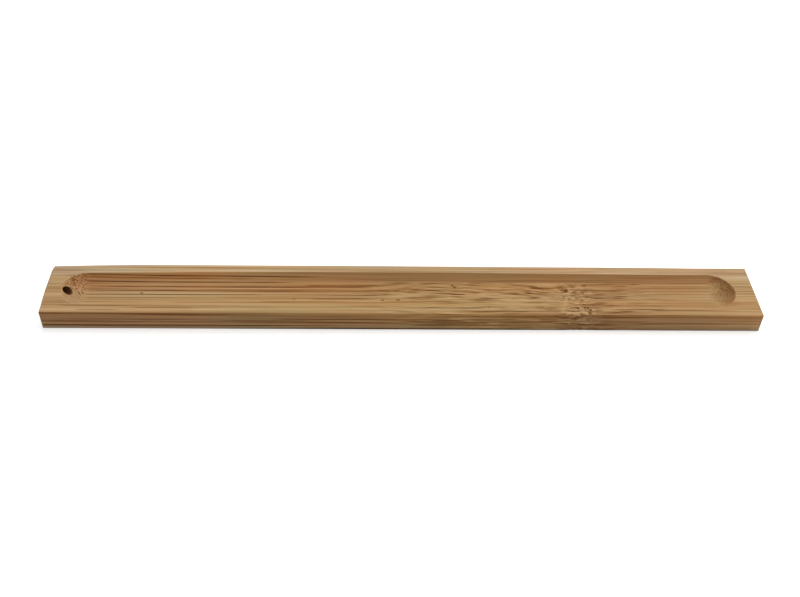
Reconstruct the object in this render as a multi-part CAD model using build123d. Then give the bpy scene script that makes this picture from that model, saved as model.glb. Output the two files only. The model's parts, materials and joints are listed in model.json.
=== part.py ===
from build123d import *
import math
import os

# Incense stick holder: a flat bamboo bar with a long coved ash trough cut into its top and one
# slanting blind hole that holds a stick over the trough.
# The bar is sawn from panel stock, so it is two strips that meet on a long glued butt joint.
# Frame: millimetres, +Z up, +X along the bar away from the stick hole, +Y toward the back,
# origin on the underside below the middle of the bar.

# Bar
length = 232.0
width = 23.4
thickness = 7.0
edge_ease = 0.5  # sanded round on every outer edge

# Glued joint, measured from the back face
back_strip_width = 6.0

# Ash trough, cut with a ball-nosed tool, so that its ends are parts of a sphere
side_rim = 3.9
hole_end_rim = 5.2
far_end_rim = 6.5
trough_depth = 3.6
rim_ease = 0.4  # sanded round where the trough meets the top

# Stick hole, drilled down into the end wall of the trough
hole_diameter = 3.4
hole_lean = 30.0  # degrees above the table, rising along the trough
hole_mouth_drop = 1.4  # from the top down to where the hole's axis leaves the wood
hole_wall = 1.4  # least wood left between the blind end and the end face or the underside

# Cuts run this far past the surface that they open
overrun = 1.0

# The cove's section is one arc through both rims and the floor
half_trough = width / 2 - side_rim
cove_radius = (half_trough**2 + trough_depth**2) / (2 * trough_depth)
hole_end_x = half_trough + hole_end_rim - length / 2
far_end_x = length / 2 - far_end_rim - half_trough
seam_y = width / 2 - back_strip_width

# The hole's axis leaves the spherical end wall at the mouth, and its blind end stops at the
# first of two walls of wood
lean = math.radians(hole_lean)
hole_radius = hole_diameter / 2
mouth_rise = cove_radius - trough_depth + hole_mouth_drop
mouth_x = hole_end_x - math.sqrt(cove_radius**2 - mouth_rise**2)
mouth_z = thickness - hole_mouth_drop
reach_to_end = (mouth_x + length / 2 - hole_wall - hole_radius * math.sin(lean)) / math.cos(lean)
reach_to_floor = (mouth_z - hole_wall - hole_radius * math.cos(lean)) / math.sin(lean)
hole_reach = min(reach_to_end, reach_to_floor)


def blank():
    """The glued stock before the trough is cut, on its underside, with all its edges eased."""
    stock = Box(length, width, thickness, align=(Align.CENTER, Align.CENTER, Align.MIN))
    return fillet(stock.edges(), edge_ease)


def half_section():
    """Half of the cut's cross-section, from the trough's middle line out to one rim."""
    floor = (0, -trough_depth)
    rim = (half_trough, 0)
    cove = TangentArc(floor, rim, tangent=(1, 0))
    lid = Polyline(rim, (half_trough, overrun), (0, overrun), floor)
    return make_face(Curve() + [cove, lid])


def across(x):
    """The plane square to the bar's length at x, level with the top."""
    return Plane(origin=(x, 0, thickness), x_dir=(0, 1, 0), z_dir=(1, 0, 0))


def half_turn(x, section):
    """The tool turning through the end of the trough whose centre is at x."""
    return revolve(across(x) * section, Axis((x, 0, 0), (0, 0, 1)), revolution_arc=180)


def trough():
    """The tool's path: a straight run and, at each end, half a turn of the same section."""
    back_half = half_section()
    front_half = mirror(back_half, about=Plane.YZ)
    run = extrude(across(hole_end_x) * (back_half + front_half), amount=far_end_x - hole_end_x)
    return run + half_turn(hole_end_x, back_half) + half_turn(far_end_x, front_half)


def stick_hole():
    """The drill, from the blind end to one diameter past the mouth."""
    out = Vector(math.cos(lean), 0, math.sin(lean))
    blind_end = Plane(origin=Vector(mouth_x, 0, mouth_z) - out * hole_reach, z_dir=out)
    return extrude(blind_end * Circle(hole_radius), amount=hole_reach + hole_diameter)


def bar():
    """The whole holder as it is cut from the glued stock."""
    coved = blank() - trough()
    rim_edges = coved.faces().sort_by(Axis.Z)[-1].inner_wires()[0].edges()
    return fillet(rim_edges, rim_ease) - stick_hole()


def strip(holder, side):
    """The part of the bar on one side of the glued joint."""
    joint = Plane(origin=(0, seam_y, 0), z_dir=(0, 1, 0))
    return split(holder, bisect_by=joint, keep=side)


holder = bar()
os.makedirs("parts", exist_ok=True)
export_step(strip(holder, Keep.TOP), "parts/back_strip.step")
export_step(strip(holder, Keep.BOTTOM), "parts/front_strip.step")
print(f"stick hole: mouth at x {mouth_x:.3f}, z {mouth_z:.3f}, {hole_reach:.3f} mm deep along its axis")
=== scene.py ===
# %% [markdown]
# An incense stick holder is a flat bamboo bar. A long hollow in its top catches the ash, and one
# slanting hole at the end of the hollow holds the stick. The solid model of its two glued strips
# is loaded first. It is the measuring frame: every size below is read from it or set against it,
# and nothing in it is moved.

# %% Load the frame
import json
import math
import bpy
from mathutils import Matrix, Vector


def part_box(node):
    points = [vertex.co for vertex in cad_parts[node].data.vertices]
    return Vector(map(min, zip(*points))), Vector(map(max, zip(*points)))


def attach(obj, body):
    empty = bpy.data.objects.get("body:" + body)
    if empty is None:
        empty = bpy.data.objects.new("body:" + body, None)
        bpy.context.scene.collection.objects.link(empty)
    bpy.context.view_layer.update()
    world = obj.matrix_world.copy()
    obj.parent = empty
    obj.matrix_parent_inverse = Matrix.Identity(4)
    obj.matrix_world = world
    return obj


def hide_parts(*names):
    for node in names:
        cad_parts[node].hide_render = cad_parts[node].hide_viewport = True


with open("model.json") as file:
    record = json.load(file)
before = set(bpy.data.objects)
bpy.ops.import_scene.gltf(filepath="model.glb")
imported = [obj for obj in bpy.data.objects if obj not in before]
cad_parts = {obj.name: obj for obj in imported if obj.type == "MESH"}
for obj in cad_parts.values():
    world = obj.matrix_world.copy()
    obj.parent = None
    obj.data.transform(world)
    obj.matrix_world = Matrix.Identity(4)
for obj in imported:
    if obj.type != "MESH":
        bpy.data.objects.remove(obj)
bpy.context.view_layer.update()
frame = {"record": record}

from types import SimpleNamespace

import bmesh
import bpy
from mathutils import Matrix, Quaternion, Vector, noise

mm = 0.001
back_low, back_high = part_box("back_strip")
half_length = back_high.x
half_width = back_high.y
thickness = back_high.z
seam_y = back_low.y
print(f"bar {2 * half_length / mm:.1f} x {2 * half_width / mm:.1f} x {thickness / mm:.1f} mm")

# %% [markdown]
# The picture is taken from in front of the bar and well above it, so that the hollow is seen into
# and the front face still shows. The lens, the distance and the small turn and tilt of the camera
# are those at which the bar's outline falls on its outline in the photograph.

# %% Camera
image_width_px = 800
focal_length_px = 1007.4
camera_distance = 336.7 * mm
nearest_seen = 5 * mm
camera_rise = math.radians(42.80)
camera_turn = math.radians(-2.47)
camera_roll = math.radians(1.98)
aim = Vector((-1.05, 3.17, 0)) * mm
to_camera = Vector((
    math.sin(camera_turn) * math.cos(camera_rise),
    -math.cos(camera_turn) * math.cos(camera_rise),
    math.sin(camera_rise),
))
camera = bpy.data.objects.new("camera", bpy.data.cameras.new("camera"))
camera.data.lens = focal_length_px * camera.data.sensor_width / image_width_px
camera.data.clip_start = nearest_seen
camera.location = aim + to_camera * camera_distance
camera.rotation_mode = "QUATERNION"
camera.rotation_quaternion = (-to_camera).to_track_quat("-Z", "Y") @ Quaternion((0, 0, 1), camera_roll)
scene = bpy.context.scene
scene.collection.objects.link(camera)
scene.camera = camera
scene.view_settings.view_transform = "Standard"
print(f"camera lens {camera.data.lens:.2f} mm, at {[round(c / mm, 1) for c in camera.location]} mm")

# %% [markdown]
# A node tree is quicker to read when each line adds one node. This helper adds a node, sets its
# choices and feeds its inputs with plain values or with the outputs of other nodes.

# %% Node helper
def put(tree, kind, feeds=None, out=0, **choices):
    """Adds a node to a material and returns one of its outputs."""
    node = tree.nodes.new("ShaderNode" + kind)
    for name, choice in choices.items():
        setattr(node, name, choice)
    for socket, feed in (feeds or {}).items():
        feed = getattr(feed, "socket", feed)
        if isinstance(feed, bpy.types.NodeSocket):
            tree.links.new(feed, node.inputs[socket])
        else:
            node.inputs[socket].default_value = feed
    return node.outputs[out]


def new_material(name):
    """An empty node material and its surface input."""
    material = bpy.data.materials.new(name)
    material.use_nodes = True
    material.node_tree.nodes.clear()
    output = material.node_tree.nodes.new("ShaderNodeOutputMaterial")
    return material, material.node_tree, output.inputs["Surface"]


print("node helpers ready")

# %% [markdown]
# The holder lies on a white table top. The floor is a plain pale sheet that keeps the soft shadow
# under the bar. What the camera sees of it directly gets a little light of its own, so that the
# background comes out white without more light on the wood.

# %% Floor
floor_half = 4.0
floor_gap = 0.02 * mm
floor_white = (0.90, 0.90, 0.90, 1)
floor_lift = 0.60


def seen_directly(tree):
    """1 for rays that show the background: from the camera, a reflection or through glass."""
    path = tree.nodes.new("ShaderNodeLightPath").outputs
    seen = put(tree, "Math", {0: path["Is Camera Ray"], 1: path["Is Glossy Ray"]}, operation="MAXIMUM")
    return put(tree, "Math", {0: seen, 1: path["Is Transmission Ray"]}, operation="MAXIMUM")


floor_paint, tree, surface = new_material("table_white")
matte = put(tree, "BsdfDiffuse", {"Color": floor_white})
lift = put(tree, "Math", {0: seen_directly(tree), 1: floor_lift}, operation="MULTIPLY")
glow = put(tree, "Emission", {"Color": (1, 1, 1, 1), "Strength": lift})
sheet = put(tree, "AddShader", {0: matte, 1: glow})
under = put(tree, "NewGeometry", out="Backfacing")
clear = put(tree, "BsdfTransparent")
tree.links.new(put(tree, "MixShader", {0: under, 1: sheet, 2: clear}), surface)

bm = bmesh.new()
bmesh.ops.create_grid(bm, x_segments=1, y_segments=1, size=floor_half)
bmesh.ops.translate(bm, verts=bm.verts, vec=(0, 0, -floor_gap))
floor_mesh = bpy.data.meshes.new("table_top")
bm.to_mesh(floor_mesh)
bm.free()
floor = bpy.data.objects.new("table_top", floor_mesh)
floor_mesh.materials.append(floor_paint)
scene.collection.objects.link(floor)
print("floor", 2 * floor_half, "m wide")

# %% [markdown]
# The light is one broad soft panel, high up and a little behind the bar to the right. It leaves the
# back wall of the hollow and the front face in shade, and it reaches the near side of the hollow.
# The sky adds an even fill.

# %% Light
panel_width = 1.1
panel_depth = 0.8
panel_place = Vector((0.28, 0.40, 0.85))
panel_watts = 9.0
sky_strength = 0.27

panel = bpy.data.lights.new("soft_panel", "AREA")
panel.shape = "RECTANGLE"
panel.size = panel_width
panel.size_y = panel_depth
panel.energy = panel_watts
panel_object = bpy.data.objects.new("soft_panel", panel)
panel_object.location = panel_place
panel_object.rotation_mode = "QUATERNION"
panel_object.rotation_quaternion = (-panel_place).to_track_quat("-Z", "Y")
scene.collection.objects.link(panel_object)

world = bpy.data.worlds.new("studio")
world.use_nodes = True
tree = world.node_tree
tree.nodes.clear()
fill = put(tree, "Background", {"Color": (1, 1, 1, 1), "Strength": sky_strength})
white = put(tree, "Background", {"Color": (1, 1, 1, 1), "Strength": 1.0})
sky = put(tree, "MixShader", {0: seen_directly(tree), 1: fill, 2: white})
world_output = tree.nodes.new("ShaderNodeOutputWorld")
tree.links.new(sky, world_output.inputs["Surface"])
scene.world = world
print("panel", panel_watts, "W, sky", sky_strength)

# %% [markdown]
# The hollow was cut by a round-nosed tool, so its section is one arc, and each end is part of a
# sphere. These are the sizes of that cut. The stick hole's place, slope and width come from the
# frame's record.

# %% Sizes of the cuts
side_rim = 3.9 * mm
hole_end_rim = 5.2 * mm
far_end_rim = 6.5 * mm
trough_depth = 3.6 * mm
edge_ease = 0.5 * mm
rim_ease = 0.4 * mm

half_trough = half_width - side_rim
cove_radius = (half_trough**2 + trough_depth**2) / (2 * trough_depth)
cove_angle = math.asin(half_trough / cove_radius)
hole_end_x = half_trough + hole_end_rim - half_length
far_end_x = half_length - far_end_rim - half_trough
stick_hole = next(m for m in frame["record"]["mounts"] if m["name"] == "stick_hole")
hole_radius = stick_hole["dims"]["r_mm"] * mm
hole_length = stick_hole["dims"]["length_mm"] * mm
hole_middle = Vector(stick_hole["pos_m"])
hole_out = Vector(stick_hole["axis"]).normalized()
print(f"hollow from x {hole_end_x / mm:.1f} to {far_end_x / mm:.1f} mm, radius {cove_radius / mm:.2f} mm")

# %% [markdown]
# Half of the bar's outline, cut across, is a chain of edges: up the arc of the hollow from its
# floor, out over the rim, down the side and back under the bar. Spin drags a vertex round an axis
# for the arc, and along a line for the flats. Small steps now leave room for fine relief later.

# %% Half section
def sweep(bm, geom, steps, travel=(0, 0, 0), centre=(0, 0, 0), axis=(0, 0, 1), angle=0.0):
    """Drags vertices and edges along a line or round an axis, and returns the last copy."""
    made = bmesh.ops.spin(
        bm, geom=geom, cent=centre, axis=axis, angle=angle, steps=steps,
        dvec=Vector(travel) / steps, use_merge=False, use_duplicate=False,
    )
    return made["geom_last"]


cove_steps = 40
rim_steps = 14
side_steps = 20
base_steps = 6

bar = bmesh.new()
floor_z = thickness - trough_depth
tip = [bar.verts.new((hole_end_x, 0, floor_z))]
cove_centre = (hole_end_x, 0, floor_z + cove_radius)
tip = sweep(bar, tip, cove_steps, centre=cove_centre, axis=(1, 0, 0), angle=cove_angle)
tip = sweep(bar, tip, rim_steps, travel=(0, side_rim, 0))
tip = sweep(bar, tip, side_steps, travel=(0, 0, -thickness))
tip = sweep(bar, tip, base_steps, travel=(0, -half_width, 0))
section = bar.verts[:] + bar.edges[:]
print(len(bar.edges), "edges in the half section")

# %% [markdown]
# One trip of that section round the hollow makes the whole bar: along the back, half a turn at the
# far end, along the front and half a turn at the hole end. The steps are short where the bamboo's
# node lies, because its pits are small. Each half turn is made in three parts, so that a row of
# vertices points at each corner of the bar.

# %% Sweep round the hollow
node_start = 46 * mm
node_end = 68 * mm
run_step = 1.0 * mm
node_step = 0.2 * mm
flank_steps = 12
end_steps = 22
merge_gap = 0.001 * mm


def straight(bm, section, travel):
    """A straight stretch of the trip. Returns its far end and the edges that lie along it."""
    start = set(section)
    end = sweep(bm, section, 1, travel=(travel, 0, 0))
    tips = [v for v in end if isinstance(v, bmesh.types.BMVert)]
    rails = [e for v in tips for e in v.link_edges if e.other_vert(v) in start]
    return end, rails


def turn(bm, section, x, reach):
    """Half a turn about the end of the hollow at x, with the bar's end face at reach from there."""
    corner = math.atan2(half_width, reach)
    flank = math.pi / 2 - corner
    for angle, steps in ((flank, flank_steps), (2 * corner, end_steps), (flank, flank_steps)):
        section = sweep(bm, section, steps, centre=(x, 0, 0), angle=-angle)
    return section


hole_reach = half_length + hole_end_x
far_reach = half_length - far_end_x
stops = (hole_end_x, node_start, node_end, far_end_x)
run = [
    (end - start, round((end - start) / step))
    for start, end, step in zip(stops, stops[1:], (run_step, node_step, run_step))
]
stretches = []
for travel, steps in run:
    section, rails = straight(bar, section, travel)
    stretches.append((rails, steps))
section = turn(bar, section, far_end_x, far_reach)
for travel, steps in reversed(run):
    section, rails = straight(bar, section, -travel)
    stretches.append((rails, steps))
section = turn(bar, section, hole_end_x, hole_reach)
for rails, steps in stretches:
    bmesh.ops.subdivide_edges(bar, edges=rails, cuts=steps - 1, use_grid_fill=True)
bmesh.ops.remove_doubles(bar, verts=bar.verts[:], dist=merge_gap)
print(len(bar.faces), "faces,", sum(e.is_boundary for e in bar.edges), "open edges")

# %% [markdown]
# The ends of the bar come out round, like the hollow, but the real bar was sawn square. Each vertex
# outside the rim is pushed out along its own ray, until the outermost ones lie on the square
# outline. The hollow keeps its round ends, and no new face is needed.

# %% Square the ends
def square(vertex, x, reach):
    """Moves a vertex of a round end out towards the square outline."""
    arm = Vector((vertex.co.x - x, vertex.co.y))
    outside = arm.length - half_trough
    if outside < merge_gap:
        return
    ray = arm.normalized()
    edge = min(reach / max(abs(ray.x), merge_gap), half_width / max(abs(ray.y), merge_gap))
    place = ray * (half_trough + outside / side_rim * (edge - half_trough))
    vertex.co.x = x + place.x
    vertex.co.y = place.y


for vertex in bar.verts:
    if vertex.co.x > far_end_x:
        square(vertex, far_end_x, far_reach)
    elif vertex.co.x < hole_end_x:
        square(vertex, hole_end_x, hole_reach)
bmesh.ops.recalc_face_normals(bar, faces=bar.faces[:])
ends = [v.co.x for v in bar.verts]
print(f"square ends from x {min(ends) / mm:.1f} to {max(ends) / mm:.1f} mm")

# %% [markdown]
# Every outer edge was rounded with sandpaper, and the rim of the hollow a little less. The bevel
# operator makes such a round. The outer edges are those that turn a right angle.

# %% Ease the edges
outer_turn = math.radians(70)
rim_turn = math.radians(30)
rim_segments = 3
edge_segments = 4


def round_edges(bm, least, most, radius, turn_angle, segments):
    """Rounds to a radius the edges where the surface turns by an angle between two limits."""
    edges = [e for e in bm.edges if least < e.calc_face_angle(0) < most]
    bmesh.ops.bevel(
        bm, geom=edges, offset=radius * math.tan(turn_angle / 2), offset_type="OFFSET",
        affect="EDGES", segments=segments, profile=0.5, material=-1, clamp_overlap=True,
    )
    print(len(edges), f"edges eased to {radius / mm:.1f} mm")


round_edges(bar, rim_turn, outer_turn, rim_ease, cove_angle, rim_segments)
round_edges(bar, outer_turn, math.pi, edge_ease, math.pi / 2, edge_segments)

# %% [markdown]
# Sanding by hand is uneven. In the photograph the back rim of the hollow bows, so that the land
# behind it is narrowest near the middle, and the back edge is worn down towards the hole end. That
# end was also sawn a little out of square. All these are small moves of the vertices that are there
# already, and none of them goes outside the bar.

# %% Wear
bow_at_hole_end = -0.45 * mm
bow_top = 0.72 * mm
bow_top_x = 5 * mm
bow_at_far_end = 0.22 * mm
corner_wear = 0.93 * mm
corner_wear_length = 55 * mm
far_wear = 0.14 * mm
far_wear_x = 101 * mm
far_wear_length = 22 * mm
wear_width = 2.8 * mm
skew = 0.36 * mm
skew_length = 9 * mm


def blend(value, low, high):
    """0 below low, 1 above high and a smooth step between."""
    t = min(1.0, max(0.0, (value - low) / (high - low)))
    return t * t * (3 - 2 * t)


def rim_bow(x):
    """How far the back rim of the hollow lies behind its straight line at x."""
    t = min(1.0, max(0.0, (x - hole_end_x) / (bow_top_x - hole_end_x)))
    rise = bow_at_hole_end + (bow_top - bow_at_hole_end) * t * (2 - t)
    return rise + (bow_at_far_end - bow_top) * blend(x, bow_top_x, far_end_x)


def edge_wear(x):
    """How far the back edge is worn down at x."""
    at_hole_end = corner_wear * max(0.0, 1 - (x + half_length) / corner_wear_length) ** 3
    return at_hole_end + far_wear * (1 - blend(abs(x - far_wear_x), 0, far_wear_length))


for vertex in bar.verts:
    x, y, z = vertex.co
    if y > 0 and z > floor_z - merge_gap:
        inside = (y / half_trough) ** 2
        outside = (half_width - y) / side_rim
        vertex.co.y += rim_bow(x) * max(0.0, min(inside, outside))
    worn = edge_wear(x) * blend(y, half_width - wear_width, half_width)
    vertex.co.z -= worn * z / thickness
    vertex.co.x += skew * blend(-y, 0, half_width) * blend(-x, half_length - skew_length, half_length)
print(f"back edge worn by up to {edge_wear(-half_length) / mm:.2f} mm")

# %% [markdown]
# Bamboo grows in sections, and at each node the fibres cross over and break when they are cut. One
# node lies across the front strip. Here and there a fibre has pulled out and left a pit, or has
# split off as a pale flake. Single pores are scattered over the rest. They are listed one by one,
# because their places are what makes this bar look like the one in the photograph.

# %% Pits, flakes and pores
node_x = 56.0
node_pits = (
    # place along and across, half length, half width and depth, in mm
    (54.2, 3.0, 0.62, 0.28, 0.50),
    (52.4, 3.1, 0.80, 0.18, 0.07),
    (53.2, 0.1, 0.26, 0.36, 0.26),
    (58.8, -0.8, 0.50, 0.70, 0.24),
    (59.0, -3.6, 0.55, 0.40, 0.14),
    (56.0, -8.4, 0.36, 0.26, 0.36),
    (53.8, -8.3, 0.24, 0.20, 0.18),
    (58.4, -8.3, 0.34, 0.22, 0.22),
    (59.3, -8.2, 0.26, 0.22, 0.26),
    (60.0, -9.3, 0.36, 0.28, 0.30),
    (56.2, -9.4, 0.60, 0.18, 0.18),
    (59.6, -10.8, 0.42, 0.24, 0.30),
    (54.6, -13.6, 0.60, 0.20, 0.10),
    (59.8, 2.4, 0.60, 0.20, 0.12),
    (60.4, 4.9, 0.50, 0.18, 0.12),
    (52.6, 4.6, 0.90, 0.20, 0.14),
    (51.0, -0.6, 1.50, 0.20, 0.10),
    (53.6, 4.4, 3.20, 0.20, 0.12),
    (49.0, -3.6, 1.80, 0.40, 0.08),
)
flakes = (
    # place along and across, half length and half width, in mm
    (56.3, 3.4, 1.40, 0.40),
    (61.5, 2.2, 1.40, 0.30),
    (55.4, 0.3, 1.60, 0.32),
    (54.0, -1.8, 2.60, 0.28),
    (47.5, -1.2, 1.40, 0.26),
    (59.0, -2.8, 1.00, 0.40),
    (54.5, -10.7, 1.60, 0.30),
    (57.6, -10.4, 1.20, 0.35),
    (55.2, -12.3, 1.60, 0.28),
    (58.4, -12.9, 1.60, 0.22),
    (55.8, -14.2, 1.80, 0.22),
)
pores = (
    # place along and across, half length, half width and depth, in mm
    (-86.0, 1.3, 0.42, 0.30, 0.24),
    (-7.0, -1.4, 0.55, 0.26, 0.22),
    (-1.9, -1.3, 0.60, 0.26, 0.24),
    (16.2, 4.8, 0.40, 0.22, 0.24),
    (17.0, 4.2, 0.40, 0.22, 0.26),
    (-36.0, -1.2, 0.50, 0.22, 0.10),
    (27.2, -8.1, 0.60, 0.30, 0.12),
)
print(len(node_pits), "pits,", len(flakes), "flakes and", len(pores), "pores")

# %% [markdown]
# The mesh is fine enough for pits at the node, but elsewhere it is too coarse for a pore, so a patch
# of faces round each pore is divided. Dividing only there keeps the mesh small. A place across the
# bar runs on down the front face, because the marks of the node do so too.

# %% Room for the pores
pore_reach = 1.4  # in mm, like the lists above
pore_cuts = 4


def place_across(vertex):
    """Place across the bar, which runs on down the front face below the front edge."""
    y = vertex.co.y
    return y - (thickness - vertex.co.z) if y < edge_ease - half_width else y


def in_reach(vertex, x, y, reach):
    """Whether a vertex of the upper or front surface is near a place."""
    if abs(vertex.co.x / mm - x) > reach:
        return False
    if vertex.co.z < floor_z - merge_gap and vertex.co.y > edge_ease - half_width:
        return False
    return abs(place_across(vertex) / mm - y) < reach


def refine(bm, x, y):
    """Divides the faces round a pore."""
    near = {v for v in bm.verts if in_reach(v, x, y, pore_reach)}
    faces = [f for f in bm.faces if near.issuperset(f.verts)]
    inner = {e for f in faces for e in f.edges}
    edges = [e for e in bm.edges if e in inner]
    bmesh.ops.subdivide_edges(bm, edges=edges, cuts=pore_cuts, use_grid_fill=True)


for x, y, *_ in pores:
    refine(bar, x, y)
bar.normal_update()
print(len(bar.faces), "faces after dividing those round the pores")

# %% [markdown]
# Now the vertices are sunk into the wood. The torn fibres of the node are uneven ground, made by
# noise, and each pit or pore is an oval dent that fades out at its edge. Vertex attributes keep the
# places of the pits, of the flakes and of wood that was cut across, so that the finish can follow
# them.

# %% Sink the node and the pores
torn_depth = 0.13 * mm
torn_middle = 56.6 * mm
torn_reach = 9.5 * mm
joint_margin = 1.2 * mm
spot_fade = 2.5
pit_shade_per_mm = 3.0


def spots(bm, x, y, long, wide):
    """The vertices in an oval spot, each with 1 at its middle fading to 0 at its edge."""
    for vertex in bm.verts:
        if in_reach(vertex, x, y, 2 * max(long, wide)):
            far = ((vertex.co.x / mm - x) / long) ** 2 + ((place_across(vertex) / mm - y) / wide) ** 2
            yield vertex, 1 - blend(far, 0.0, spot_fade)


def torn_ground(x, y):
    """Uneven ground of torn fibres, drawn out along the bar, from about -1 to 1."""
    broad = noise.noise((x * 0.5, y * 1.4, 3.0))
    fine = noise.noise((x * 1.3, y * 3.0, 7.0))
    return broad + 0.6 * fine


pit_layer = bar.verts.layers.float.new("pit")
cut_layer = bar.verts.layers.float.new("cut")
flake_layer = bar.verts.layers.float.new("flake")
sinks = {}
for vertex in bar.verts:
    vertex[cut_layer] = abs(vertex.normal.x)
    torn = 1 - blend(abs(vertex.co.x - torn_middle), 0, torn_reach)
    torn *= blend(seam_y - vertex.co.y, 0, joint_margin)
    if torn > 0 and in_reach(vertex, node_x, 0, half_length / mm):
        rough = torn_ground(vertex.co.x / mm, place_across(vertex) / mm)
        sinks[vertex] = torn * torn_depth * max(0.0, 0.5 + 0.8 * rough)
for x, y, long, wide, deep in node_pits + pores:
    for vertex, spot in spots(bar, x, y, long, wide):
        # painted shade: the deeper a pit, the darker it is painted
        vertex[pit_layer] = max(vertex[pit_layer], spot * min(1.0, deep * pit_shade_per_mm))
        sinks[vertex] = sinks.get(vertex, 0.0) + deep * mm * spot
for x, y, long, wide in flakes:
    for vertex, spot in spots(bar, x, y, long, wide):
        vertex[flake_layer] = max(vertex[flake_layer], spot)
for vertex, depth in sinks.items():
    vertex.co -= depth * vertex.normal
print(len(sinks), "vertices sunk, by up to", round(max(sinks.values()) / mm, 2), "mm")

# %% [markdown]
# The bar was sawn from a panel of bamboo strips glued edge to edge, and one joint runs along the
# back of the hollow. A flat cut there makes the two strips, and each is closed with a face where
# the glue is.

# %% Split at the glued joint
def strip_mesh(name, back_side):
    """The part of the bar on one side of the glued joint, closed with a flat face there."""
    half = bar.copy()
    everything = half.verts[:] + half.edges[:] + half.faces[:]
    cut = bmesh.ops.bisect_plane(
        half, geom=everything, plane_co=(0, seam_y, 0), plane_no=(0, 1, 0), dist=merge_gap,
        clear_inner=back_side, clear_outer=not back_side,
    )
    joint = [e for e in cut["geom_cut"] if isinstance(e, bmesh.types.BMEdge)]
    bmesh.ops.triangle_fill(half, edges=joint, use_beauty=True)
    bmesh.ops.recalc_face_normals(half, faces=half.faces[:])
    mesh = bpy.data.meshes.new(name)
    half.to_mesh(mesh)
    print(name, len(half.faces), "faces,", sum(not e.is_manifold for e in half.edges), "open edges")
    half.free()
    return mesh


def add_piece(mesh):
    """A new object for a mesh, at the origin."""
    piece = bpy.data.objects.new(mesh.name, mesh)
    scene.collection.objects.link(piece)
    return piece


back_piece = add_piece(strip_mesh("back_strip_wood", True))
front_piece = add_piece(strip_mesh("front_strip_wood", False))
bar.free()

# %% [markdown]
# The grain is painted by formulas of the place in the wood, in millimetres. A small class lets the
# numbers in a node tree be added and multiplied like plain ones, so that each formula is one line.

# %% Formulas in a node tree
class Wire:
    """A number that flows through a node tree."""

    def __init__(self, tree, socket):
        self.tree = tree
        self.socket = socket

    def math(self, operation, other=0.0):
        return Wire(self.tree, put(self.tree, "Math", {0: self, 1: other}, operation=operation))

    def __add__(self, other):
        return self.math("ADD", other)

    def __sub__(self, other):
        return self.math("SUBTRACT", other)

    def __mul__(self, other):
        return self.math("MULTIPLY", other)

    def ease(self, low, high, start=0.0, end=1.0):
        """Goes smoothly from start to end as the number goes from low to high."""
        feeds = {"Value": self, "From Min": low, "From Max": high, "To Min": start, "To Max": end}
        return Wire(self.tree, put(self.tree, "MapRange", feeds, interpolation_type="SMOOTHSTEP"))

    def near(self, middle, reach):
        """1 where the number is at the middle, fading to 0 at reach on both sides."""
        return (self - middle).math("ABSOLUTE").ease(0.0, reach, 1.0, 0.0)

    def within(self, low, high, soft):
        """1 where the number is between two limits, with soft ends."""
        return self.ease(low - soft, low + soft) * self.ease(high + soft, high - soft)


def parts(tree, vector):
    """The three numbers of a vector."""
    node = tree.nodes.new("ShaderNodeSeparateXYZ")
    tree.links.new(vector, node.inputs[0])
    return [Wire(tree, socket) for socket in node.outputs]


print("formula helpers ready")

# %% [markdown]
# Fibres are long and thin. Noise gives their random look when the place it is read at is squeezed
# along the bar: spots turn into streaks. Cells, which measure the distance to scattered points, give
# separate dashes and dots in the same way.

# %% Noise along the fibres
def stretched(tree, vector, along, across, up=None):
    """A place scaled by one factor along the fibres and by another across them."""
    factors = (along, across, across if up is None else up)
    return put(tree, "VectorMath", {0: vector, 1: factors}, operation="MULTIPLY")


def cloud(tree, vector, along, across, detail=1.0, roughness=0.5):
    """Soft noise from 0 to 1. The factors say how many spots fit in a millimetre."""
    feeds = {"Vector": stretched(tree, vector, along, across), "Scale": 1.0}
    feeds.update({"Detail": detail, "Roughness": roughness})
    return Wire(tree, put(tree, "TexNoise", feeds))


def cells(tree, vector, along, across, up=None):
    """Distance to the nearest of many scattered points."""
    feeds = {"Vector": stretched(tree, vector, along, across, up), "Scale": 1.0}
    return Wire(tree, put(tree, "TexVoronoi", feeds))


print("noise helpers ready")

# %% [markdown]
# Fibres run along the bar, nearly straight at the hole end. They drift more towards the middle and
# swirl round the node. In the back half of the middle they also lean a little, because the strip
# was not sawn quite along them. The drift moves the place where the grain is read, so that every
# line drawn later follows the same flow.

# %% Flow of the fibres
lean_x = 36.0
lean_slope = 0.05
# limits of the front face and of the hollow, in mm
front_face_y = (-11.2, -11.6)
hollow_x = (-112.0, 111.0)
hollow_y = (-8.9, 8.9)
hollow_z = (3.0, 6.93)


def place_in_mm(tree):
    """The place in the wood, in millimetres."""
    coords = put(tree, "TexCoord", out="Object")
    return put(tree, "VectorMath", {0: coords, "Scale": 1 / mm}, operation="SCALE")


def attribute(tree, name):
    """A number that the mesh keeps at its vertices."""
    return Wire(tree, put(tree, "Attribute", out="Fac", attribute_name=name))


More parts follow.
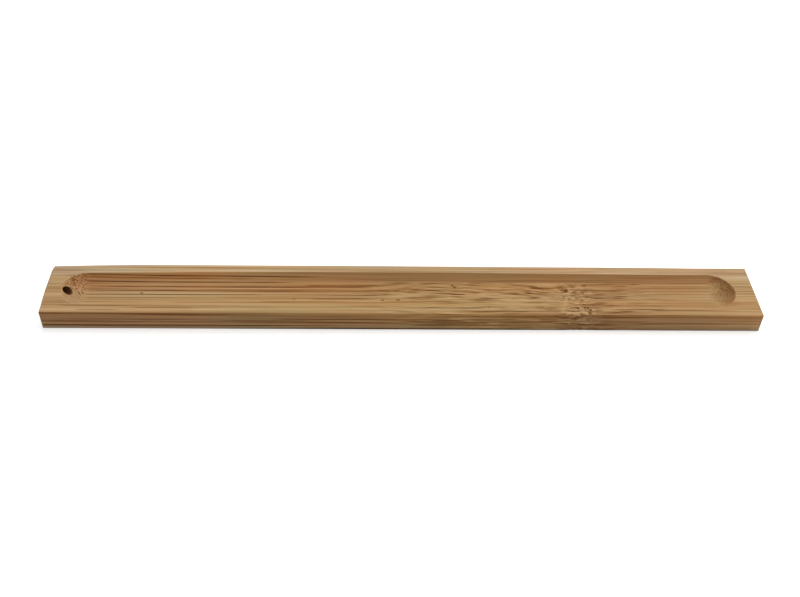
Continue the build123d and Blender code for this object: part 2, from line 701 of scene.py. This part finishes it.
def grain_space(tree, shift, has_node):
    """Places in the wood, in millimetres, with and without the flow of the fibres."""
    place = place_in_mm(tree)
    x, y, z = parts(tree, place)
    slow = cloud(tree, place, 0.02, 0.11) - 0.5
    flow = slow * (x.ease(-40.0, 20.0, 0.25, 1.3) - x.ease(70.0, 95.0, 0.0, 0.7))
    if has_node:
        quick = cloud(tree, place, 0.15, 0.4) - 0.5
        flow = flow + quick * x.near(node_x, 26.0) * x.ease(56.0, 70.0, 1.3, 0.3)
        flow = flow + (x - lean_x) * lean_slope * x.within(0.0, 72.0, 14.0) * y.ease(-7.0, 5.0)
    offset = put(tree, "CombineXYZ", {0: shift, 1: flow, 2: flow})
    grain = put(tree, "VectorMath", {0: place, 1: offset}, operation="ADD")
    return SimpleNamespace(
        x=x, y=y, z=z, place=place, grain=grain, across=y + flow, down=z + flow,
        front=y.ease(*front_face_y),
        hollow=z.within(*hollow_z, 0.06) * y.within(*hollow_y, 0.1) * x.within(*hollow_x, 1.0),
        cut=attribute(tree, "cut"), pit=attribute(tree, "pit"), flake=attribute(tree, "flake"),
    )


print("fibres lean by", lean_slope, "round x", lean_x, "mm")

# %% [markdown]
# Bamboo is pale pith with dark bundles of fibre in it. Cut lengthways the bundles are lines, and
# no two are the same width. Noise that is stretched a hundred times along the grain draws them in
# four widths, from single fibres to broad bands.

# %% Fibres
fine_weight = 0.28
streak_weight = 0.22
bundle_weight = 0.12
band_weight = 0.12


def fibre_marks(tree, at):
    """How dark the wood is where fibres lie along the surface."""
    fine = cloud(tree, at.grain, 0.016, 2.9, 2.0, 0.6).ease(0.66, 0.36)
    streak = cloud(tree, at.grain, 0.012, 1.25).ease(0.62, 0.38)
    band = cloud(tree, at.grain, 0.007, 0.5).ease(0.35, 0.65)
    bundle = cells(tree, at.grain, 0.009, 0.95).ease(0.36, 0.06)
    calm = at.x.ease(64.0, 84.0, 1.0, 0.6) + at.x.ease(100.0, 112.0, 0.0, 0.5)
    broad = (streak * streak_weight + bundle * bundle_weight) * calm + band * band_weight
    dark = fine * fine_weight + broad
    return dark + (fine + streak - 1.0) * at.front * at.x.ease(20.0, 40.0, 0.22, 0.06)


print("fibres ready")

# %% [markdown]
# Some bundles are so thick that each can be told from the others, and long ones run half the length
# of the bar. Each is drawn from its own place, width, strength and ends, which are listed further
# below as they lie in the photograph. A line starts quickly and fades out slowly, and a slow noise
# makes it stronger and weaker along its way.

# %% Long dark lines
line_start = 2.0
line_fade = 6.0


def stretch(x, start, end):
    """1 along a line from start to end. It starts quickly and fades out slowly."""
    fade = min(line_fade, 0.3 * (end - start))
    return x.ease(start - line_start, start + line_start) * x.ease(end + fade, end - fade)


def long_lines(tree, at, lines, side_lines):
    """How much darker the wood is on thick single bundles."""
    patchy = cloud(tree, at.grain, 0.06, 0.9).ease(0.30, 0.60, 0.55, 1.15)
    total = at.front * 0.0
    for middle, reach, strength, start, end in lines:
        total = total + at.across.near(middle, reach) * stretch(at.x, start, end) * strength
    for middle, reach, strength, start, end in side_lines:
        mark = at.down.near(middle, reach) * stretch(at.x, start, end) * strength
        total = total + mark * at.front
    return total * patchy


print("long lines ready")

# %% [markdown]
# Towards the node the saw met the bundles at a slant, and the lines break up into short dashes.
# They are thin and brown in the back half of the hollow, and broad and faint in the front half.
# Beyond the node they are shorter and lie over the whole width. At the node itself the fibres are
# torn: dark flecks lie between pale flakes.

# %% Dashes and torn fibres
torn_half = 9.0
thick_weight = 0.16
thin_weight = 0.52
soft_weight = 0.10
pale_weight = 0.26


def dashes(tree, at):
    """How much darker the wood is on the broken lines round the node."""
    # they run from the middle of the bar to past the node
    where = at.x.ease(-25.0, 12.0) * at.x.ease(92.0, 66.0)
    # before the node they lie mostly in the back half, beyond it everywhere but on the front face
    beyond = at.x.ease(57.0, 63.0) * at.y.ease(-11.4, -10.4)
    behind = at.y.ease(-3.5, 0.5, 0.35, 1.0) - at.y.ease(2.5, 4.0, 0.0, 0.30)
    behind = behind + at.y.ease(-7.6, -8.4, 0.0, 0.20) - at.front * 0.45
    behind = behind.math("MAXIMUM", beyond * 0.9)
    thick = cells(tree, at.grain, 0.12, 1.1, 0.16).ease(0.42, 0.18) * (beyond * 0.30 + thick_weight)
    thin = cloud(tree, at.grain, 0.10, 2.5).ease(0.50, 0.65) * (beyond * -0.32 + thin_weight)
    soft = cloud(tree, at.grain, 0.05, 1.0).ease(0.48, 0.66)
    pale = cloud(tree, at.place, 0.09, 1.7).ease(0.54, 0.66)
    # in the node itself torn fibres take their place
    whole = at.x.near(node_x, torn_half) * -0.55 + 1.0
    broken = (thick + thin) * behind * whole
    return (broken + soft * soft_weight - pale * pale_weight) * where


def torn_flecks(tree, at):
    """How dark and how pale the torn fibres of the node are."""
    torn = at.x.near(node_x, torn_half)
    fleck = cloud(tree, at.grain, 0.50, 1.7, 2.0)
    shred = cloud(tree, at.place, 0.9, 2.0).ease(0.38, 0.58)
    dark = fleck.ease(0.54, 0.70) * torn * (at.front * -0.85 + 1.0)
    return dark, (fleck.ease(0.46, 0.36) * torn).math("MAXIMUM", at.flake * shred)


print("dashes and torn fibres ready")

# %% [markdown]
# At the ends of the hollow, and on the sawn ends of the bar, the fibres are cut across. There every
# bundle shows as a dark dot, and end grain soaks up more light than the sides of the fibres. The
# bundles stand closest towards the back, which was the outside of the stalk. The cutter also left
# fine rings in the hollow.

# %% Cut ends of the fibres
ring_middle = (far_end_x - hole_end_x) / 2 / mm
ring_turns = 9.0
ring_weight = 0.06
dot_weight = 0.56
grit_weight = 0.40
patch_weight = 0.08
end_shade = 0.20


def end_marks(tree, at):
    """How dark the wood is where the fibres are cut across, with painted shade at the far end."""
    far_end = at.x.ease(0.0, 50.0)
    # 1 on the sawn ends of the bar, 0 in the hollow
    outer = at.x.math("ABSOLUTE").ease(112.0, 115.0)
    # how close the bundles stand
    close = at.y.ease(-2.5, 1.5, 0.35, 1.0).math("MAXIMUM", far_end * 0.7)
    close = close.math("MAXIMUM", outer * 0.7) - outer * 0.2
    dot = cells(tree, at.place, 1.25, 2.1, 1.2).ease(0.55, 0.22)
    grit = cells(tree, at.place, 2.0, 3.2, 1.6).ease(0.50, 0.15)
    patch = cloud(tree, at.place, 0.25, 0.35).ease(0.35, 0.65)
    from_end = at.x.math("ABSOLUTE") - ring_middle
    radius = (from_end * from_end + at.y * at.y).math("SQRT")
    ring = (radius * ring_turns).math("SINE") * patch * ring_weight
    mark = (dot * dot_weight + grit * grit_weight) * (far_end * -0.65 + 1.0)
    # partly the end grain's own darkness, partly painted shade of the far end wall turned from the light
    shade = far_end * at.cut.ease(0.1, 0.7, 0.06, 0.32) + patch * patch_weight + ring
    return mark * close + shade + (far_end * -1.0 + 1.0) * 0.03 + end_shade


print("end grain ready")

# %% [markdown]
# The strips are not one colour all over. The hole end is paler and the far end redder. The back of
# the hollow is turned from the light, and its redder, mostly darker tint is painted shade. The front
# face's tint paints its light and shade. A tint is a colour that the wood's colour is multiplied by.

# %% Tints
def mixed(tree, factor, first, second, mode="MIX"):
    """Two colours mixed by a factor."""
    feeds = {"Factor": factor, 6: first, 7: second}
    return put(tree, "Mix", feeds, out=2, data_type="RGBA", blend_type=mode)


def tint_along(tree, x, stops):
    """A tint that changes along the bar from stop to stop."""
    place, tint = stops[0]
    for next_place, next_tint in stops[1:]:
        tint = mixed(tree, x.ease(place, next_place), tint, next_tint)
        place = next_place
    return tint


plain = (1.0, 1.0, 1.0, 1.0)
flake_tint = (1.18, 1.10, 1.13, 1.0)
patch_tints = ((1.03, 0.97, 0.94, 1.0), (0.97, 1.02, 1.03, 1.0))
cove_tint = (0.97, 1.0, 1.24, 1.0)
# painted shade: the front face is browner towards its top and greyer at its foot
face_top_shade_tint = (0.86, 0.77, 0.62, 1.0)
face_foot_shadow_tint = (1.12, 1.42, 1.98, 1.0)
# place along the bar, in mm, and the tint there
back_stops = (
    (-112.0, (0.93, 0.92, 0.95, 1.0)), (-98.0, (1.06, 1.09, 1.13, 1.0)), (-60.0, (1.15, 1.19, 1.17, 1.0)),
    (-15.0, (0.98, 0.90, 0.80, 1.0)), (12.0, (0.98, 0.91, 0.80, 1.0)), (40.0, (1.08, 1.06, 1.05, 1.0)),
    (94.0, (1.07, 1.05, 1.04, 1.0)), (105.0, (1.0, 0.93, 0.89, 1.0)), (113.0, (1.06, 1.05, 1.06, 1.0)),
)
# painted shade of the hollow's back side, which is turned from the light
back_wall_shade_stops = (
    (-100.0, (1.03, 0.73, 0.48, 1.0)), (-72.0, (1.10, 0.83, 0.54, 1.0)), (-52.0, (1.02, 0.82, 0.60, 1.0)),
    (-35.0, (0.90, 0.70, 0.49, 1.0)), (0.0, (0.80, 0.60, 0.41, 1.0)), (50.0, (0.80, 0.62, 0.41, 1.0)),
    (100.0, (0.88, 0.65, 0.45, 1.0)),
)
front_stops = (
    (-95.0, (1.12, 1.16, 1.30, 1.0)), (-70.0, (1.17, 1.23, 1.35, 1.0)), (-40.0, (1.08, 1.11, 1.12, 1.0)),
    (-12.0, (1.0, 1.02, 1.0, 1.0)), (5.0, (1.04, 1.07, 1.05, 1.0)), (40.0, (0.99, 0.98, 0.95, 1.0)),
    (56.0, (0.93, 0.88, 0.86, 1.0)), (68.0, (0.98, 0.91, 0.87, 1.0)), (100.0, (0.98, 0.92, 0.89, 1.0)),
    (112.0, (1.12, 1.14, 1.22, 1.0)),
)
front_strip_wall_shade_stops = (
    (-95.0, (1.15, 1.03, 1.07, 1.0)), (-70.0, (1.17, 1.04, 1.02, 1.0)), (-15.0, (1.09, 0.96, 0.83, 1.0)),
    (10.0, (1.09, 0.97, 0.85, 1.0)), (42.0, (1.24, 1.22, 1.15, 1.0)), (70.0, (1.03, 0.86, 0.74, 1.0)),
    (90.0, (1.08, 0.92, 0.83, 1.0)), (106.0, (1.15, 1.10, 1.05, 1.0)),
)
# painted light and shade of the front face along the bar
face_light_stops = (
    (-85.0, (0.98, 0.91, 0.97, 1.0)), (-25.0, (0.94, 0.88, 0.86, 1.0)), (8.0, (1.14, 1.11, 1.07, 1.0)),
    (26.0, (1.34, 1.32, 1.32, 1.0)), (42.0, (1.24, 1.20, 1.19, 1.0)), (57.0, (0.97, 0.91, 0.91, 1.0)),
    (72.0, (1.13, 1.06, 1.10, 1.0)), (90.0, (1.16, 1.06, 1.11, 1.0)), (112.0, (1.30, 1.20, 1.26, 1.0)),
)
print("tints at", len(back_stops), "and", len(front_stops), "places along the strips")

# %% [markdown]
# The front face is turned away from the light, and its tint and shade paint that: it is browner
# towards its top and greyer at its foot, and a dark line of painted shadow lies along its lowest
# edge, where it meets the table. Both are laid over the same fibres.

# %% Front face
def front_face_painted_light(tree, at):
    """The tint of the front face, which paints its light and shade."""
    tint = tint_along(tree, at.x, face_light_stops)
    top_tint = mixed(tree, at.z.ease(4.4, 6.0), plain, face_top_shade_tint)
    foot_tint = mixed(tree, at.z.ease(1.4, 0.7), plain, face_foot_shadow_tint)
    tint = mixed(tree, 1.0, tint, top_tint, "MULTIPLY")
    return mixed(tree, 1.0, tint, foot_tint, "MULTIPLY")


def front_face_shade(at):
    """Painted shade on the front face: darker towards its top, and a painted shadow along its foot."""
    # painted shadow along the foot, where the face meets the table, strongest in the middle
    foot_shadow = at.x.within(-34.0, 40.0, 24.0).ease(0.0, 1.0, 0.1, 0.90)
    shade = at.z.ease(1.0, 6.5, -0.06, 0.10) + at.z.ease(1.4, 0.4) * foot_shadow + at.z.ease(0.7, 0.2) * 0.30
    return shade * at.front


print("front face has tints at", len(face_light_stops), "places")

# %% [markdown]
# Bamboo goes from pale yellow pith to dark brown fibre. A colour ramp holds a few tones picked from
# the photograph, and turns darkness into colour. Screen colours are not linear, as a shader's are,
# so they are converted first. The long lines of both strips are listed here too. One with a
# strength below 0 is paler than the wood beside it.

# %% Tones and single lines
def srgb(red, green, blue):
    """A colour as picked on a screen, from 0 to 255, as the linear colour that a shader takes."""
    linear = [((c / 255 + 0.055) / 1.055) ** 2.4 for c in (red, green, blue)]
    return (*linear, 1.0)


def tone_ramp(tree, dark, tones):
    """The wood's colour for its darkness."""
    ramp = tree.nodes.new("ShaderNodeValToRGB")
    tree.links.new(dark.socket, ramp.inputs[0])
    while len(ramp.color_ramp.elements) < len(tones):
        ramp.color_ramp.elements.new(0.5)
    for element, (position, colour) in zip(ramp.color_ramp.elements, tones):
        element.position = position
        element.color = srgb(*colour)
    return ramp.outputs[0]


# the darkness from 0 to 1 and the screen colour there
back_tones = (
    (0.0, (202, 174, 136)), (0.35, (186, 155, 115)), (0.7, (146, 108, 68)), (1.0, (96, 62, 33)),
)
front_tones = (
    (0.0, (194, 160, 112)), (0.35, (174, 137, 88)), (0.7, (134, 92, 49)), (1.0, (84, 51, 24)),
)
back_lines = (
    # place across, half width, strength, from x and to x, in mm
    # the first line, just under the back rim, is painted shade where the wall turns steeply from the
    # light
    (7.05, 0.24, 0.48, -104, -30),
    (6.45, 0.20, 0.64, -104, -50),
    (5.95, 0.30, -0.20, -104, -60),
    (5.84, 0.18, 0.46, 10, 104),
    (8.40, 0.20, 0.30, -116, -106),
    (6.20, 1.00, -0.22, -117, -110),
    (7.20, 0.60, 0.18, 72, 92),
)
front_lines = (
    # the same columns as for the back strip
    (5.40, 0.20, 0.78, -104, -40),
    (3.85, 0.26, 0.58, -104, -12),
    (2.45, 0.30, 0.52, -104, 0),
    (2.95, 0.36, 0.30, -104, -20),
    (0.85, 0.26, 0.70, -105, -4),
    (-0.60, 0.28, 0.46, -104, -8),
    (-1.10, 0.34, 0.36, -30, 8),
    (-2.60, 0.45, 0.26, -46, -20),
    (-3.55, 0.90, 0.26, -104, -32),
    (4.50, 0.26, 0.50, -32, -8),
    (-6.60, 0.26, 0.40, -116, -108),
    (-8.40, 0.24, 0.46, -109, -90),
    (-9.20, 0.24, 0.34, -86, -58),
    (-10.30, 0.24, 0.72, -104, -92),
    (-8.95, 0.30, 0.80, 68, 82),
    (-9.40, 0.30, 0.85, 80, 102),
    (-8.30, 0.40, -0.20, 62, 104),
    (-10.40, 0.35, 0.25, 66, 90),
    (5.25, 0.22, -0.35, 70, 102),
    (-4.80, 4.20, 0.21, 58, 106),
    (-0.80, 1.30, 0.14, -6, 26),
    (-0.80, 1.40, -0.26, 32, 53),
    (5.20, 0.70, -0.22, -117, -110),
    (-9.70, 1.60, -0.20, -68, 16),
)
face_lines = (
    # height, half width, strength, from x and to x, in mm
    (1.75, 0.40, 0.40, -116, -24),
    (3.70, 0.30, 0.26, -84, -30),
    (5.30, 0.25, 0.26, -106, -88),
    (4.60, 0.30, 0.22, -40, -8),
    (2.10, 0.28, 0.34, 4, 34),
    (3.60, 0.28, 0.34, 24, 40),
    (1.50, 0.28, 0.30, 30, 48),
    (3.20, 0.50, 0.40, 48, 104),
)
print(len(back_lines), "lines in the back strip,", len(front_lines + face_lines), "in the front strip")

# %% [markdown]
# Colour, gloss and relief all follow from the same darkness: dark bundles are browner, a little
# rougher and stand a little lower than the pith. Pits are painted nearly black, the deeper the darker,
# as painted shade. One function makes the wood of both strips, and only the front strip has the node.

# %% Bamboo
fleck_weight = 0.46
flake_weight = 0.34
pit_shade_weight = 0.62
wood_relief = 0.06 * mm
relief_strength = 0.6
gloss = 0.2


def bamboo(name, shift, tones, stops, wall, wall_shade_stops, lines, side_lines=(), has_node=False):
    """Sanded bamboo whose fibres run along the bar."""
    material, tree, surface = new_material(name)
    at = grain_space(tree, shift, has_node)
    dark = fibre_marks(tree, at) + long_lines(tree, at, lines, side_lines)
    tint = tint_along(tree, at.x, stops)
    # painted shade on the back side of the hollow, which is turned from the light
    tint = mixed(tree, at.hollow * at.y.ease(*wall), tint, tint_along(tree, at.x, wall_shade_stops))
    if has_node:
        tint = mixed(tree, at.front, tint, front_face_painted_light(tree, at))
        fleck, flake = torn_flecks(tree, at)
        dark = dark + dashes(tree, at) + fleck * fleck_weight - flake * flake_weight
        tint = mixed(tree, flake, tint, flake_tint)
    ends = at.cut.ease(0.02, 0.24)
    pinkish = ends * at.hollow * at.x.ease(0.0, -50.0) * at.y.ease(1.5, -3.0)
    tint = mixed(tree, pinkish, tint, cove_tint)
    dark = Wire(tree, put(tree, "Mix", {"Factor": ends, 2: dark, 3: end_marks(tree, at)}))
    # painted shade in the pits and on the front face
    dark = dark + at.pit * pit_shade_weight + front_face_shade(at)
    patch = cloud(tree, at.place, 0.03, 0.16).ease(0.3, 0.7)
    tint = mixed(tree, 1.0, tint, mixed(tree, patch, *patch_tints), "MULTIPLY")
    colour = mixed(tree, 1.0, tone_ramp(tree, dark, tones), tint, "MULTIPLY")
    rough = dark.ease(0.0, 1.0, 0.56, 0.78)
    relief = {"Strength": relief_strength, "Distance": wood_relief, "Height": dark}
    bump = put(tree, "Bump", relief, invert=True)
    feeds = {"Base Color": colour, "Roughness": rough, "Normal": bump, "Specular IOR Level": gloss}
    tree.links.new(put(tree, "BsdfPrincipled", feeds), surface)
    print(name, "has", len(tree.nodes), "nodes")
    return material


# the back strip's fibres are read at another place, so that the strips don't share them
back_shift = 37.0
# where the painted shade of the hollow's back side begins and is full, in mm across the bar
back_wall_shade = (5.2, 6.2)
front_strip_wall_shade = (0.5, 4.0)
back_wood = bamboo(
    "bamboo_back_strip", back_shift, back_tones, back_stops, back_wall_shade, back_wall_shade_stops, back_lines,
)
front_wood = bamboo(
    "bamboo_front_strip", 0.0, front_tones, front_stops, front_strip_wall_shade, front_strip_wall_shade_stops, front_lines,
    face_lines, has_node=True,
)

# %% [markdown]
# The wall of the stick hole was scorched by the drill, and the ends of burnt sticks have blackened
# it. It is dark brown with a few paler fibres, and painted light makes it paler near the mouth.

# %% Scorched wood
scorched_dark = srgb(104, 70, 42)
scorched_pale = srgb(150, 108, 70)
lit_mouth_paint = srgb(190, 150, 104)
bore_relief = 0.08 * mm
scorched, tree, surface = new_material("scorched_bore")
place = place_in_mm(tree)
fibre = cloud(tree, place, 0.5, 2.2, 2.0, 0.6)
x, y, z = parts(tree, place)
depth_along = x * hole_out.x + z * hole_out.z
mouth_along = (hole_middle.dot(hole_out) + hole_length / 2) / mm
colour = mixed(tree, fibre.ease(0.45, 0.72), scorched_dark, scorched_pale)
# painted light: paler near the mouth, where light reaches into the bore
colour = mixed(tree, depth_along.ease(mouth_along - 1.0, mouth_along + 0.2), colour, lit_mouth_paint)
bump = put(tree, "Bump", {"Strength": relief_strength, "Distance": bore_relief, "Height": fibre})
rough = fibre.ease(0.3, 0.7, 0.7, 0.9)
feeds = {"Base Color": colour, "Roughness": rough, "Normal": bump, "Specular IOR Level": gloss}
tree.links.new(put(tree, "BsdfPrincipled", feeds), surface)
print("scorched wood has", len(tree.nodes), "nodes")

# %% [markdown]
# The hole is drilled as it is in a workshop: a round cutter, set at the slope of the stick, is
# taken away from the front strip. The faces it leaves carry the cutter's material. The manifold
# solver is chosen, because it always leaves a closed mesh.

# %% Drill the stick hole
drill_sides = 48
drill_length = hole_length + 2 * hole_radius
drill_bm = bmesh.new()
bmesh.ops.create_cone(
    drill_bm, cap_ends=True, segments=drill_sides, radius1=hole_radius, radius2=hole_radius,
    depth=drill_length,
)
blind_end = hole_middle - hole_out * hole_length / 2
tilt = hole_out.to_track_quat("Z", "Y").to_matrix().to_4x4()
drill_place = Matrix.Translation(blind_end + hole_out * drill_length / 2) @ tilt
bmesh.ops.transform(drill_bm, matrix=drill_place, verts=drill_bm.verts)
drill_mesh = bpy.data.meshes.new("drill")
drill_bm.to_mesh(drill_mesh)
drill_bm.free()
drill_mesh.materials.append(scorched)
drill = add_piece(drill_mesh)
back_piece.data.materials.append(back_wood)
front_piece.data.materials.append(front_wood)
cut = front_piece.modifiers.new("stick_hole", "BOOLEAN")
cut.operation = "DIFFERENCE"
cut.solver = "MANIFOLD"
cut.material_mode = "TRANSFER"
cut.object = drill
bpy.context.view_layer.update()
evaluated = front_piece.evaluated_get(bpy.context.evaluated_depsgraph_get())
drilled = bpy.data.meshes.new_from_object(evaluated)
front_piece.modifiers.clear()
undrilled = front_piece.data
front_piece.data = drilled
bpy.data.meshes.remove(undrilled)
bpy.data.objects.remove(drill)
bpy.data.meshes.remove(drill_mesh)
drilled.name = "front_strip_wood"
bore_faces = sum(f.material_index == 1 for f in drilled.polygons)
print("drilled strip has", len(drilled.polygons), "faces,", bore_faces, "of them in the hole")

# %% [markdown]
# Both strips are shaded smoothly, with sharp lines only where the surface really turns. Each takes
# the place of its solid in the frame.

# %% Finish
smooth_angle = math.radians(35)
for piece, node in ((back_piece, "back_strip"), (front_piece, "front_strip")):
    mesh = piece.data
    mesh.polygons.foreach_set("use_smooth", [True] * len(mesh.polygons))
    mesh.set_sharp_from_angle(angle=smooth_angle)
    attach(piece, "root")
    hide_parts(node)
    print(piece.name, [m.name for m in mesh.materials])
